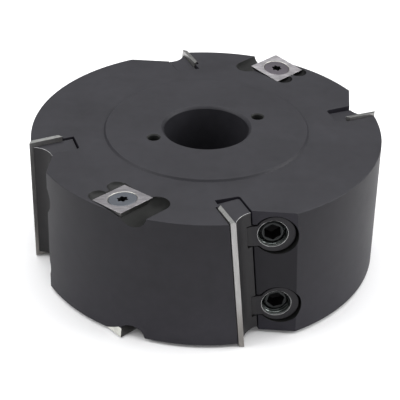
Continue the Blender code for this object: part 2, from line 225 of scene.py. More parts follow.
def block(f, u0, u1, w0, w1, origin, along, out):
    bm = bmesh.new()
    d0, d1 = out
    normal = f[1].cross(along).normalized()
    if normal.dot(f[2]) < 0:
        normal = -normal
    vs = []
    for d in (d0, d1):
        for a, b in ((u0, w0), (u1, w0), (u1, w1), (u0, w1)):
            vs.append(bm.verts.new(origin + along * a + f[1] * b - normal * d))
    for face in ((0, 1, 2, 3), (4, 5, 6, 7), (0, 1, 5, 4), (1, 2, 6, 5), (2, 3, 7, 6), (3, 0, 4, 7)):
        bm.faces.new([vs[i] for i in face])
    return bm


def cutter(bm, name, group=None, materials=()):
    obj = new_object(name, bm, group or CUTTERS)
    obj.hide_render = True
    for mat in materials:
        obj.data.materials.append(mat)
    return obj


def boolean(obj, other, operation="DIFFERENCE"):
    mod = obj.modifiers.new(operation.lower(), "BOOLEAN")
    mod.operation = operation
    mod.solver = "EXACT"
    mod.material_mode = "TRANSFER"
    if isinstance(other, bpy.types.Collection):
        mod.operand_type = "COLLECTION"
        mod.collection = other
    else:
        mod.object = other
    return mod


def settle(obj, merge=2e-6, flat=None, short=None):
    """Applies the modifiers and tidies the mesh."""
    bpy.context.view_layer.update()
    graph = bpy.context.evaluated_depsgraph_get()
    mesh = bpy.data.meshes.new_from_object(obj.evaluated_get(graph))
    obj.modifiers.clear()
    old = obj.data
    obj.data = mesh
    bpy.data.meshes.remove(old)
    bm = bmesh.new()
    bm.from_mesh(mesh)
    bmesh.ops.remove_doubles(bm, verts=bm.verts, dist=merge)
    bmesh.ops.dissolve_degenerate(bm, edges=bm.edges, dist=1e-6)
    if flat:
        bmesh.ops.dissolve_limit(bm, angle_limit=math.radians(flat), verts=bm.verts, edges=bm.edges)
    if short:
        for _ in range(2):
            bmesh.ops.collapse(bm, edges=[e for e in bm.edges if e.calc_length() < short(e) * MM])
        bmesh.ops.dissolve_degenerate(bm, edges=bm.edges, dist=1e-6)
    bm.to_mesh(mesh)
    bm.free()


def slot_of(obj, mat):
    names = [m.name if m else "" for m in obj.data.materials]
    if mat.name not in names:
        obj.data.materials.append(mat)
        names.append(mat.name)
    return names.index(mat.name)


def mark_edges(obj, angle, skip):
    """Gives the sharp edges a bevel weight, but for those that `skip` picks by their place in millimetres."""
    bm = bmesh.new()
    bm.from_mesh(obj.data)
    layer = bm.edges.layers.float.new("bevel_weight_edge")
    for e in bm.edges:
        if len(e.link_faces) == 2 and e.calc_face_angle() > math.radians(angle):
            mid = (e.verts[0].co + e.verts[1].co) / 2
            if not skip(Vector((mid.x / MM, mid.y / MM, mid.z / MM - LIFT))):
                e[layer] = 1.0
    bm.to_mesh(obj.data)
    bm.free()


def worn_edges(obj, width, bare, keep, segments=2, angle=32, base=None, weighted=False):
    """Rounds the sharp edges and leaves bare metal on those that `keep` picks by their place in millimetres."""
    first = base if base is not None else 0
    index = slot_of(obj, bare)
    soften(obj, width, segments, angle, material=index, weighted=weighted)
    bpy.context.view_layer.update()
    graph = bpy.context.evaluated_depsgraph_get()
    mesh = bpy.data.meshes.new_from_object(obj.evaluated_get(graph))
    obj.modifiers.clear()
    old = obj.data
    obj.data = mesh
    bpy.data.meshes.remove(old)
    near = {}
    for poly in mesh.polygons:
        if poly.material_index != index:
            for v in poly.vertices:
                near.setdefault(v, []).append((poly.area, poly.material_index))
    for poly in mesh.polygons:
        if poly.material_index == index:
            c = poly.center
            if not keep(Vector((c.x / MM, c.y / MM, c.z / MM - LIFT))):
                around = [pair for v in poly.vertices for pair in near.get(v, ())]
                poly.material_index = max(around)[1] if around else first


def soften(obj, width, segments=2, angle=32, material=None, harden=False, weighted=False):
    """Rounds the sharp edges."""
    mod = obj.modifiers.new("edges", "BEVEL")
    mod.width = width * MM
    mod.segments = segments
    mod.limit_method = "WEIGHT" if weighted else "ANGLE"
    mod.angle_limit = math.radians(angle)
    mod.use_clamp_overlap = False
    mod.harden_normals = harden
    mod.miter_outer = "MITER_ARC"
    if material is not None:
        mod.material = material
    even = obj.modifiers.new("even", "WEIGHTED_NORMAL")
    even.keep_sharp = True
    even.weight = 90
    return mod


def smooth(obj, angle=30):
    for poly in obj.data.polygons:
        poly.use_smooth = True
    obj.data.set_sharp_from_angle(angle=math.radians(angle))


def stand_for(obj, node):
    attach(obj, "root")
    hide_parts(node)


# ---------------------------------------------------------------- section outlines
def flat_r(u):
    return FLAT_R + FLAT_SLOPE * (u - FLAT_U)


def on_rake(along, back):
    return (-SR * along - CR * back, CUT_R - CR * along + SR * back)


def rounded(before, corner, after, rad, steps=5):
    """The corner of an outline replaced by an arc."""
    a = Vector((before[0] - corner[0], before[1] - corner[1])).normalized()
    b = Vector((after[0] - corner[0], after[1] - corner[1])).normalized()
    half = math.acos(max(-1.0, min(1.0, a.dot(b)))) / 2
    centre = Vector(corner) + (a + b).normalized() * (rad / math.sin(half))
    start = Vector(corner) + a * (rad / math.tan(half)) - centre
    end = Vector(corner) + b * (rad / math.tan(half)) - centre
    turn = start.angle_signed(end)
    points = []
    for k in range(steps + 1):
        t = -turn * k / steps
        points.append((centre.x + start.x * math.cos(t) - start.y * math.sin(t), centre.y + start.x * math.sin(t) + start.y * math.cos(t)))
    return points


def slot_outline():
    step = KNIFE_W + 0.3
    wall = on_rake(step, SEAT_STEP)
    down = (wall[1] - SLOT_IN_LEFT_R) / CR
    return [
        on_rake(-8.0, KNIFE_T + SEAT_GAP),
        on_rake(step, KNIFE_T + SEAT_GAP),
        wall,
        (wall[0] - SR * down, SLOT_IN_LEFT_R),
        *rounded((wall[0] - SR * down, SLOT_IN_LEFT_R), SLOT_IN_RIGHT, (FLAT_U, FLAT_R), 1.0),
        (FLAT_U, FLAT_R),
        (28.0, flat_r(28.0)),
        (28.0, 72.0),
    ]


def wedge_outline(steps=22):
    top = on_rake(1.4, -SEAT_GAP)
    inner_left = on_rake(15.6, -SEAT_GAP)
    wu, wr = FLAT_U - SLOT_IN_RIGHT[0], FLAT_R - SLOT_IN_RIGHT[1]
    length = math.hypot(wu, wr)
    du, dr = wu / length, wr / length
    off = (-dr * WEDGE_GAP, du * WEDGE_GAP)
    inner_right = (SLOT_IN_RIGHT[0] + off[0] + du * 0.35, SLOT_IN_RIGHT[1] + off[1] + dr * 0.35)
    points = [top, inner_left] + rounded(inner_left, inner_right, (FLAT_U + off[0], FLAT_R + off[1]), 0.9)
    a0, a1 = math.radians(261.5), math.radians(189.5)
    for k in range(steps + 1):
        a = a0 + (a1 - a0) * k / steps
        points.append((ARC_U + ARC_RAD * math.cos(a), ARC_R + ARC_RAD * math.sin(a)))
    return points


def lug_axes(f):
    out = (f[2] * math.cos(TILT) - f[0] * math.sin(TILT)).normalized()
    along = (f[0] * math.cos(TILT) + f[2] * math.sin(TILT)).normalized()
    return out, along


def lug_point(f, w):
    out, along = lug_axes(f)
    return place(f, LUG_U, w, flat_r(LUG_U)) - out * LUG_DEPTH


def arc(cx, cy, rad, a0, a1, n):
    return [
        (cx + rad * math.cos(math.radians(a0 + (a1 - a0) * k / n)), cy + rad * math.sin(math.radians(a0 + (a1 - a0) * k / n)))
        for k in range(n + 1)
    ]


# ---------------------------------------------------------------- materials
def tree_of(name):
    mat = bpy.data.materials.new(name)
    mat.use_nodes = True
    nt = mat.node_tree
    return mat, nt, nt.nodes["Principled BSDF"]


class Nodes:
    """Short ways to add and join nodes."""

    def __init__(self, nt):
        self.nt = nt

    def new(self, kind, **values):
        node = self.nt.nodes.new(kind)
        for key, value in values.items():
            setattr(node, key, value)
        return node

    def link(self, a, b):
        self.nt.links.new(a, b)

    def coords(self):
        return self.new("ShaderNodeTexCoord").outputs["Object"]

    def scaled(self, vector, scale):
        node = self.new("ShaderNodeMapping")
        node.inputs["Scale"].default_value = scale
        self.link(vector, node.inputs["Vector"])
        return node.outputs["Vector"]

    def noise(self, vector, scale, detail=3.0, rough=0.5, distortion=0.0):
        node = self.new("ShaderNodeTexNoise")
        node.inputs["Scale"].default_value = scale
        node.inputs["Detail"].default_value = detail
        node.inputs["Roughness"].default_value = rough
        node.inputs["Distortion"].default_value = distortion
        if vector is not None:
            self.link(vector, node.inputs["Vector"])
        return node.outputs["Fac"]

    def voronoi(self, vector, scale, feature="F1"):
        node = self.new("ShaderNodeTexVoronoi", feature=feature)
        node.inputs["Scale"].default_value = scale
        self.link(vector, node.inputs["Vector"])
        return node.outputs["Distance"]

    def math(self, operation, a, b=None, clamp=False):
        node = self.new("ShaderNodeMath", operation=operation, use_clamp=clamp)
        for i, value in enumerate((a, b)):
            if value is None:
                continue
            if isinstance(value, (int, float)):
                node.inputs[i].default_value = value
            else:
                self.link(value, node.inputs[i])
        return node.outputs["Value"]

    def ramp(self, value, stops, interpolation="LINEAR"):
        node = self.new("ShaderNodeValToRGB")
        node.color_ramp.interpolation = interpolation
        elements = node.color_ramp.elements
        while len(elements) < len(stops):
            elements.new(0.5)
        for element, (position, color) in zip(elements, stops):
            element.position = position
            element.color = color if len(color) == 4 else (*color, 1.0)
        self.link(value, node.inputs["Fac"])
        return node.outputs["Color"]

    def span(self, value, low, high, to_low, to_high, smoothstep=False):
        node = self.new("ShaderNodeMapRange")
        if smoothstep:
            node.interpolation_type = "SMOOTHSTEP"
        for key, number in (("From Min", low), ("From Max", high), ("To Min", to_low), ("To Max", to_high)):
            node.inputs[key].default_value = number
        self.link(value, node.inputs["Value"])
        return node.outputs["Result"]

    def mix(self, factor, a, b, blend="MIX"):
        node = self.new("ShaderNodeMix", data_type="RGBA", blend_type=blend)
        if isinstance(factor, (int, float)):
            node.inputs[0].default_value = factor
        else:
            self.link(factor, node.inputs[0])
        for index, value in ((6, a), (7, b)):
            if isinstance(value, tuple):
                node.inputs[index].default_value = value if len(value) == 4 else (*value, 1.0)
            else:
                self.link(value, node.inputs[index])
        return node.outputs[2]

    def bump(self, height, strength, distance, normal=None):
        node = self.new("ShaderNodeBump")
        node.inputs["Strength"].default_value = strength
        node.inputs["Distance"].default_value = distance
        self.link(height, node.inputs["Height"])
        if normal is not None:
            self.link(normal, node.inputs["Normal"])
        return node.outputs["Normal"]


def radial_marks(n, coords, pitch):
    """Height of turning marks: rings round the bore on the faces, rings round the axis on the outside."""
    parts = n.new("ShaderNodeSeparateXYZ")
    n.link(coords, parts.inputs["Vector"])
    x, y, z = parts.outputs
    radius = n.math("SQRT", n.math("ADD", n.math("MULTIPLY", x, x), n.math("MULTIPLY", y, y)))
    both = n.math("ADD", radius, z)
    line = n.new("ShaderNodeCombineXYZ")
    n.link(both, line.inputs["X"])
    return n.noise(line.outputs["Vector"], 1.0 / pitch, 2.0, 0.6), radius, z


def oxide_steel(name, dark, light, rough=(0.42, 0.6), marks=0.00035, bump=0.12, metallic=0.85, specular=0.5, fade=None):
    """Dark oxide; `fade` lists (height in millimetres from the middle, brightness) pairs of painted light and shade
    that make the steel paler or darker along its height.
    """
    mat, nt, bsdf = tree_of(name)
    n = Nodes(nt)
    co = n.coords()
    ring, radius, z = radial_marks(n, co, marks)
    cloud = n.noise(co, 55.0, 4.0, 0.55)
    blotch = n.noise(co, 260.0, 3.0, 0.6)
    grain = n.noise(co, 5200.0, 2.0, 0.7)
    tone = n.math("ADD", n.math("MULTIPLY", cloud, 0.45), n.math("ADD", n.math("MULTIPLY", blotch, 0.3), n.math("MULTIPLY", grain, 0.25)))
    color = n.ramp(tone, ((0.32, dark), (0.68, light)))
    # Painted light and shade: the colour is scaled along the height by the fade pairs.
    if fade:
        top = max(gain for height, gain in fade)
        stops = [((height + 26.0) / 52.0, (gain / top,) * 3) for height, gain in fade]
        place_z = n.span(n.math("ADD", z, n.math("MULTIPLY", cloud, 0.004)), (LIFT - 24.0) * MM, (LIFT + 28.0) * MM, 0.0, 1.0)
        color = n.ramp(tone, ((0.32, tuple(top * v for v in dark)), (0.68, tuple(top * v for v in light))))
        color = n.mix(1.0, color, n.ramp(place_z, stops, "EASE"), "MULTIPLY")
    n.link(color, bsdf.inputs["Base Color"])
    bsdf.inputs["Metallic"].default_value = metallic
    bsdf.inputs["Specular IOR Level"].default_value = specular
    r = n.span(n.math("ADD", n.math("MULTIPLY", cloud, 0.5), n.math("MULTIPLY", grain, 0.5)), 0.3, 0.7, rough[0], rough[1])
    n.link(r, bsdf.inputs["Roughness"])
    height = n.math("ADD", n.math("MULTIPLY", ring, 0.6), n.math("ADD", n.math("MULTIPLY", grain, 0.5), n.math("MULTIPLY", blotch, 0.25)))
    n.link(n.bump(height, bump, 0.00004), bsdf.inputs["Normal"])
    return mat


def bright_edge(name, color, rough=0.35):
    """Bare steel where an edge has rubbed bright."""
    mat, nt, bsdf = tree_of(name)
    n = Nodes(nt)
    co = n.coords()
    patch = n.noise(co, 420.0, 4.0, 0.7)
    c = n.ramp(patch, ((0.3, tuple(0.45 * v for v in color)), (0.6, color)))
    n.link(c, bsdf.inputs["Base Color"])
    bsdf.inputs["Metallic"].default_value = 1.0
    n.link(n.span(patch, 0.3, 0.7, rough + 0.15, rough - 0.05), bsdf.inputs["Roughness"])
    return mat


def ground_carbide(name, color, scratch_scale=(1.0, 1.0, 1.0), rough=(0.28, 0.42), low=False, spread=(0.78, 1.14), speck=6500.0):
    mat, nt, bsdf = tree_of(name)
    n = Nodes(nt)
    co = n.coords()
    lines = n.noise(n.scaled(co, scratch_scale), 900.0, 3.0, 0.65)
    haze = n.noise(co, 120.0, 3.0, 0.5)
    grain = n.noise(co, speck, 2.0, 0.6)
    tone = n.math("ADD", n.math("MULTIPLY", lines, 0.55), n.math("ADD", n.math("MULTIPLY", haze, 0.25), n.math("MULTIPLY", grain, 0.2)))
    dark = tuple(spread[0] * v for v in color)
    light = tuple(min(1.0, spread[1] * v) for v in color)
    shade = n.ramp(tone, ((0.34, dark), (0.66, light)))
    # Darker towards the bottom when low is set.
    if low:
        parts = n.new("ShaderNodeSeparateXYZ")
        n.link(co, parts.inputs["Vector"])
        edge = n.math("ADD", parts.outputs["Z"], n.math("MULTIPLY", haze, 0.006))
        low_darkening = n.span(edge, 0.010, 0.024, 1.0, 0.0, smoothstep=True)
        shade = n.mix(low_darkening, shade, (0.75, 0.72, 0.69), "MULTIPLY")
    n.link(shade, bsdf.inputs["Base Color"])
    bsdf.inputs["Metallic"].default_value = 0.85
    n.link(n.span(tone, 0.3, 0.7, rough[0], rough[1]), bsdf.inputs["Roughness"])
    n.link(n.bump(lines, 0.15, 0.00003), bsdf.inputs["Normal"])
    return mat


BODY = oxide_steel("body oxide", (0.0148, 0.0145, 0.0178), (0.0268, 0.0263, 0.0317), rough=(0.46, 0.6), metallic=0.15, specular=0.3)
# Painted shade: the outside is a darker copy of the body oxide; its fade is painted light near the bottom and painted
# shade near the top.
OUTSIDE_SHADE = oxide_steel("outside oxide", (0.0072, 0.0067, 0.0096), (0.0173, 0.0163, 0.0211), rough=(0.46, 0.6), metallic=0.15, specular=0.27, fade=((-24, 1.34), (0, 0.95), (24, 0.76)))
# The fade of the flats is painted light, paler towards both ends.
FLAT = oxide_steel("milled flat oxide", (0.0051, 0.0047, 0.0068), (0.0092, 0.0086, 0.0117), rough=(0.46, 0.6), marks=0.0006, metallic=0.15, specular=0.22, fade=((-24, 2.3), (-12, 1.1), (10, 1.0), (24, 2.1)))
# Painted shade: a darker copy of the body oxide for the walls of holes, pockets, necks, gullets and slits, where shade
# falls.
CAVITY_SHADE = oxide_steel("cavity oxide", (0.011, 0.0113, 0.0113), (0.02, 0.0207, 0.0195), rough=(0.5, 0.65), marks=0.0008, metallic=0.2, specular=0.25)
WEDGE = oxide_steel("wedge oxide", (0.0108, 0.0102, 0.0111), (0.0196, 0.0188, 0.0199), rough=(0.42, 0.56), marks=0.0006, metallic=0.25, specular=0.28)
LUG = oxide_steel("lug oxide", (0.0098, 0.0091, 0.011), (0.0182, 0.0172, 0.0194), rough=(0.42, 0.56), marks=0.0006, metallic=0.25, specular=0.27)
RELIEF = oxide_steel("relief oxide", (0.0135, 0.0138, 0.0138), (0.0235, 0.024, 0.0235), rough=(0.5, 0.65), marks=0.0008, metallic=0.15, specular=0.25)
# Painted shade: the relief hollows beside spur top_2 get this near-black copy of the relief oxide, while the other
# spurs keep the lighter copy.
RELIEF_SHADE = oxide_steel("dark relief oxide", (0.003, 0.003, 0.0032), (0.0062, 0.006, 0.0065), rough=(0.5, 0.65), marks=0.0008, metallic=0.15, specular=0.15)
THREAD = oxide_steel("thread steel", (0.03, 0.034, 0.032), (0.08, 0.09, 0.086), rough=(0.3, 0.45), metallic=0.9)
CREST = oxide_steel("thread crest steel", (0.13, 0.146, 0.142), (0.34, 0.375, 0.365), rough=(0.25, 0.4), metallic=1.0)
SCREW = oxide_steel("set screw oxide", (0.012, 0.013, 0.0135), (0.036, 0.039, 0.039), rough=(0.32, 0.48), metallic=0.7, specular=0.3)
# Painted shade: a near-black copy of the screw oxide for the hex and star sockets.
SOCKET_SHADE = oxide_steel("socket oxide", (0.0035, 0.0033, 0.0038), (0.0075, 0.0072, 0.008), rough=(0.5, 0.65), metallic=0.2, specular=0.15)
EDGE = bright_edge("bare edge", (0.42, 0.42, 0.42), 0.5)
EDGE_DARK = bright_edge("soft edge", (0.075, 0.076, 0.08), 0.45)
KNIFE = ground_carbide("knife carbide", (0.31, 0.307, 0.3), (1.0, 1.0, 0.12))
# A copy of the knife carbide that is darker towards the bottom.
KNIFE_DARKER_LOW = ground_carbide("knife carbide darker low", (0.31, 0.305, 0.3), (1.0, 1.0, 0.12), low=True)
KNIFE_END = ground_carbide("knife end carbide", (0.25, 0.252, 0.244), (1.0, 1.0, 1.0))
SPUR = ground_carbide("spur carbide", (0.38, 0.366, 0.381), (0.3, 1.0, 1.0), spread=(0.62, 1.3), speck=3000.0)
# Painted light on the plate flanks: a dark copy of the spur carbide is painted shade, and a pale copy is a painted
# highlight.
SPUR_SHADE_FLANK = ground_carbide("spur flank carbide", (0.11, 0.108, 0.106), (1.0, 1.0, 1.0))
SPUR_HIGHLIGHT_FLANK = ground_carbide("spur land carbide", (0.8, 0.8, 0.74), (1.0, 1.0, 1.0))
SINK = ground_carbide("sink carbide", (0.72, 0.71, 0.66), (1.0, 1.0, 1.0))
SPUR_SCREW_DARK = oxide_steel("spur screw grey", (0.074, 0.066, 0.076), (0.13, 0.118, 0.135), rough=(0.38, 0.5), metallic=0.85)
SPUR_SCREW = oxide_steel("spur screw blue", (0.098, 0.107, 0.122), (0.172, 0.187, 0.212), rough=(0.38, 0.5), metallic=0.85)


# ---------------------------------------------------------------- body
def body_profile():
    pts = []
    half = []
    # from the bore outwards on the upper face
    half += [(BORE_R, HUB_H - BORE_CHAMFER - 0.06), (BORE_R + 0.03, HUB_H - BORE_CHAMFER + 0.03)]
    half += [(BORE_R + BORE_CHAMFER - 0.06, HUB_H - 0.05), (BORE_R + BORE_CHAMFER + 0.06, HUB_H)]
    half += [(HUB_R - 0.12, HUB_H), (HUB_R + 0.0, HUB_H - 0.04), (HUB_R + 0.1, HUB_H - 0.14)]
    half += [(HUB_FOOT_R - 0.26, BODY_H + 0.22), (HUB_FOOT_R - 0.08, BODY_H + 0.05), (HUB_FOOT_R + 0.14, BODY_H)]
    half += arc(BODY_R - 0.38, BODY_H - 0.38, 0.38, 90, 0, 4)
    lower = [(r, -z) for r, z in reversed(half)]
    return half + lower


def body_mesh():
    rings = []
    for rad, z in body_profile():
        rings.append(
            [Vector((rad * math.cos(2 * math.pi * k / SEGMENTS), rad * math.sin(2 * math.pi * k / SEGMENTS), z)) for k in range(SEGMENTS)]
        )
    rings.append(rings[0])
    bm = bmesh.new()
    made = [[bm.verts.new(p) for p in ring] for ring in rings[:-1]]
    for i, a in enumerate(made):
        b = made[(i + 1) % len(made)]
        for k in range(SEGMENTS):
            m = (k + 1) % SEGMENTS
            bm.faces.new((a[k], a[m], b[m], b[k]))
    return bm


def spur_frame(az, side):
    nz = math.sqrt(1 - SPUR_NX**2 - SPUR_NY**2)
    z = Vector((SPUR_NX, SPUR_NY, nz))
    x = Vector((1, 1, 0)).normalized()
    x = (x - z * x.dot(z)).normalized()
    y = z.cross(x)
    c = Vector((SPUR_X, SPUR_Y, SPUR_Z if side > 0 else SPUR_LOW_Z))
    m = Matrix.Rotation(math.radians(az), 3, "Z")
    vs = [m @ v for v in (c, x, y, z)]
    if side < 0:
        vs = [Vector((v.x, v.y, -v.z)) for v in vs]
    return vs


def slab(c, x, y, z, half, half_low, top, bottom):
    bm = bmesh.new()
    rings = []
    for h, d in ((half, top), (half_low, bottom)):
        rings.append([bm.verts.new(c + x * (h * sx) + y * (h * sy) + z * d) for sx, sy in ((1, 1), (-1, 1), (-1, -1), (1, -1))])
    bm.faces.new(rings[0])
    bm.faces.new(rings[1][::-1])
    for i in range(4):
        j = (i + 1) % 4
        bm.faces.new((rings[0][i], rings[1][i], rings[1][j], rings[0][j]))
    return bm


def body_cutters():
    group = bpy.data.collections.new("body cutters")
    CUTTERS.children.link(group)

    # Walls left by these cutters take the darker cavity copy, a painted shade, unless another material is given.
    def cut(bm, name, mat=None):
        cutter(bm, name, group, (mat or CAVITY_SHADE,))

    for i, az in enumerate((PIN_AZ, PIN_AZ + 180)):
        for j, side in enumerate((1, -1)):
            a = math.radians(az)
            p = Vector((PIN_PITCH_R * math.cos(a), PIN_PITCH_R * math.sin(a), HUB_H * side))
            profile = [(0, 2.0), (PIN_R + PIN_CHAMFER + 2.0, 2.0), (PIN_R, -PIN_CHAMFER), (PIN_R, -PIN_DEPTH), (0, -PIN_DEPTH - 1.0)]
            cut(revolve(p, Vector((0, 0, side)), Vector((1, 0, 0)), profile, 40), f"pin_{i}{j}")
    for n, az, sign in STATIONS:
        f = frame_of(az, sign)
        out, along = lug_axes(f)
        cut(prism(f, slot_outline(), -34, 34), f"slot_{n}", FLAT)
        for k, w in enumerate(LUG_WS):
            surface = place(f, POCKET_U, w, flat_r(POCKET_U))
            profile = [(0, 9.0), (POCKET_RAD, 9.0), (POCKET_RAD, -POCKET_DEPTH), (0, -POCKET_DEPTH)]
            cut(revolve(surface, out, along, profile, 72, math.pi / 72), f"pocket_{n}{k}")
            origin = place(f, POCKET_U, 0, flat_r(POCKET_U))
            cut(
                block(f, 3.5 - POCKET_U, -1.0, w - NECK_HALF - 0.45, w + NECK_HALF + 0.45, origin, along, (-4.0, POCKET_DEPTH)),
                f"neck_{n}{k}",
            )
    for name, az, side in SPURS:
        c, x, y, z = spur_frame(az, side)
        turn = Matrix.Rotation(math.radians(az), 3, "Z")
        up = Vector((0, 0, side))
        half = SPUR_SIDE / 2 + POCKET_CLEAR
        slope = SPUR_DRAFT / SPUR_T
        depth = SPUR_T + 0.25
        cut(slab(c, x, y, z, half + 8.0 * slope, half - depth * slope, 8.0, -depth), f"seat_{name}")
        start = turn @ Vector((GULLET_X, GULLET_Y, 0))
        start.z = (BODY_H + 0.2) * side
        way = turn @ Vector((-1, -1, 0)).normalized()
        # round-bottomed channel with a ball end, carried up past the face
        side_dir = way.cross(up).normalized()
        rings = []
        steps = 14
        for k in range(steps + 1):
            a = math.pi / 2 * k / steps
            rad = GULLET_R * math.sin(a)
            back = GULLET_R * math.cos(a)
            rings.append((rad, -back))
        rings.append((GULLET_R, 34.0))
        cross = 28
        skins = []
        for rad, dist in rings:
            if rad < 1e-6:
                rad = 0.02
            pts = []
            for k in range(cross + 1):
                a = math.pi * k / cross
                pts.append(start + way * dist + side_dir * (rad * math.cos(a)) - up * (rad * math.sin(a)))
            pts.append(start + way * dist - side_dir * rad + up * 6)
            pts.append(start + way * dist + side_dir * rad + up * 6)
            skins.append(pts)
        bm = bmesh.new()
        made = [[bm.verts.new(p) for p in pts] for pts in skins]
        for a, b in zip(made, made[1:]):
            for k in range(len(a)):
                m = (k + 1) % len(a)
                bm.faces.new((a[k], a[m], b[m], b[k]))
        bm.faces.new(made[0])
        bm.faces.new(made[-1][::-1])
        cut(bm, f"gullet_{name}")
        gullet_side = 1 if (start - c).dot(y) > 0 else -1
        if abs((start - c).dot(x)) > abs((start - c).dot(y)):
            gullet_side = 1 if (start - c).dot(x) > 0 else -1
            edge_dir, over = y, -x * gullet_side
        else:
            edge_dir, over = x, -y * gullet_side
        for k, s in enumerate((-1, 1)):
            p = c + over * (SPUR_SIDE / 2 + RELIEF_OUT) + edge_dir * (s * RELIEF_OFF)
            p.z = BODY_H * side
            profile = [(0, 3.0), (RELIEF_R + 0.3, 3.0), (RELIEF_R, 0.0)]
            for step in range(1, 9):
                t = step / 8
                profile.append((RELIEF_R - 0.1 - 2.0 * (1 - math.cos(t * math.pi / 2)), -RELIEF_DEPTH * math.sin(t * math.pi / 2)))
            profile.append((0, -RELIEF_DEPTH))
            # The relief hollows of spur top_2 get the near-black copy, a painted shade.
            cut(revolve(p, up, Vector((1, 0, 0)), profile, 44), f"relief_{name}_{k}", RELIEF_SHADE if name == "top_2" else RELIEF)
        profile = [(0, 1.0), (2.6, 1.0), (2.6, -SPUR_SCREW_LEN - 1.5), (0, -SPUR_SCREW_LEN - 2.5)]
        cut(revolve(c, z, x, profile, 24), f"tap_{name}")
    return group


body = new_object("body", body_mesh())
body.data.materials.append(BODY)
body.data.materials.append(OUTSIDE_SHADE)
# The outside faces take the darker outside copy, a painted shade.
for poly in body.data.polygons:
    c = poly.center
    if math.hypot(c.x, c.y) > (BODY_R - 0.3) * MM and abs(c.z - LIFT * MM) < (BODY_H - 0.2) * MM:
        poly.material_index = 1
boolean(body, body_cutters())


def shortest(e):
    """Edges below this length are closed up: longer ones stay at the rim, where the rounding needs room."""
    return 0.135 if min(math.hypot(v.co.x, v.co.y) for v in e.verts) > 60.9 * MM else 0.05


settle(body, flat=0.25, short=shortest)
smooth(body)


def body_rim(p):
    return abs(p.z) > BODY_H - 0.7 and math.hypot(p.x, p.y) > 61.2


def true_normals(obj):
    """Gives the plane faces and the turned walls their exact directions."""
    mesh = obj.data
    normals = [Vector(n.vector) for n in mesh.corner_normals]
    for poly in mesh.polygons:
        n, c = poly.normal, poly.center
        out = Vector((c.x, c.y, 0)).normalized()
        plane = abs(n.z) > 0.99995
        radius = math.hypot(c.x, c.y) / MM
        turned = abs(n.z) < 0.004 and abs(n.dot(out)) > 0.9995 and (abs(radius - BODY_R) < 0.02 or abs(radius - BORE_R) < 0.02)
        if not (plane or turned):
            continue
        for loop, vertex in zip(poly.loop_indices, poly.vertices):
            if plane:
                normals[loop] = n.copy()
            else:
                co = mesh.vertices[vertex].co
                side = 1 if n.dot(out) > 0 else -1
                normals[loop] = Vector((co.x, co.y, 0)).normalized() * side
    mesh.normals_split_custom_set(normals)


SPUR_PLACES = [spur_frame(az, side)[0] for name, az, side in SPURS]


def near_spur(p):
    return any((p - c).length < 10.4 for c in SPUR_PLACES)


mark_edges(body, 34, near_spur)
worn_edges(body, 0.13, EDGE_DARK, body_rim, 2, 34, weighted=True)
true_normals(body)
stand_for(body, "cutter_body")


# ---------------------------------------------------------------- knives
def knife_outline():
    run = KNIFE_T / math.tan(math.radians(KNIFE_BEVEL))
    return [on_rake(0, 0), on_rake(run, KNIFE_T), on_rake(KNIFE_W - run, KNIFE_T), on_rake(KNIFE_W, 0)]


for n, az, sign in STATIONS:
    f = frame_of(az, sign)
    knife = new_object(f"knife_blade_{n}", prism(f, knife_outline(), -KNIFE_HALF, KNIFE_HALF))
    # The knives of stations 3 and 4 get the copy that is darker towards the bottom.
    knife.data.materials.append(KNIFE_DARKER_LOW if n in (3, 4) else KNIFE)
    knife.data.materials.append(KNIFE_END)
    for poly in knife.data.polygons:
        if abs(poly.normal.dot(f[1])) > 0.9:
            poly.material_index = 1
    smooth(knife, 20)
    soften(knife, 0.05, 2, 20)
    stand_for(knife, f"knife_{n}")


# ---------------------------------------------------------------- wedges and their set screws
def turned_copy(obj, name, degrees):
    mesh = obj.data.copy()
    mesh.transform(Matrix.Rotation(math.radians(degrees), 4, "Z"))
    twin = bpy.data.objects.new(name, mesh)
    scene_collection.objects.link(twin)
    return twin


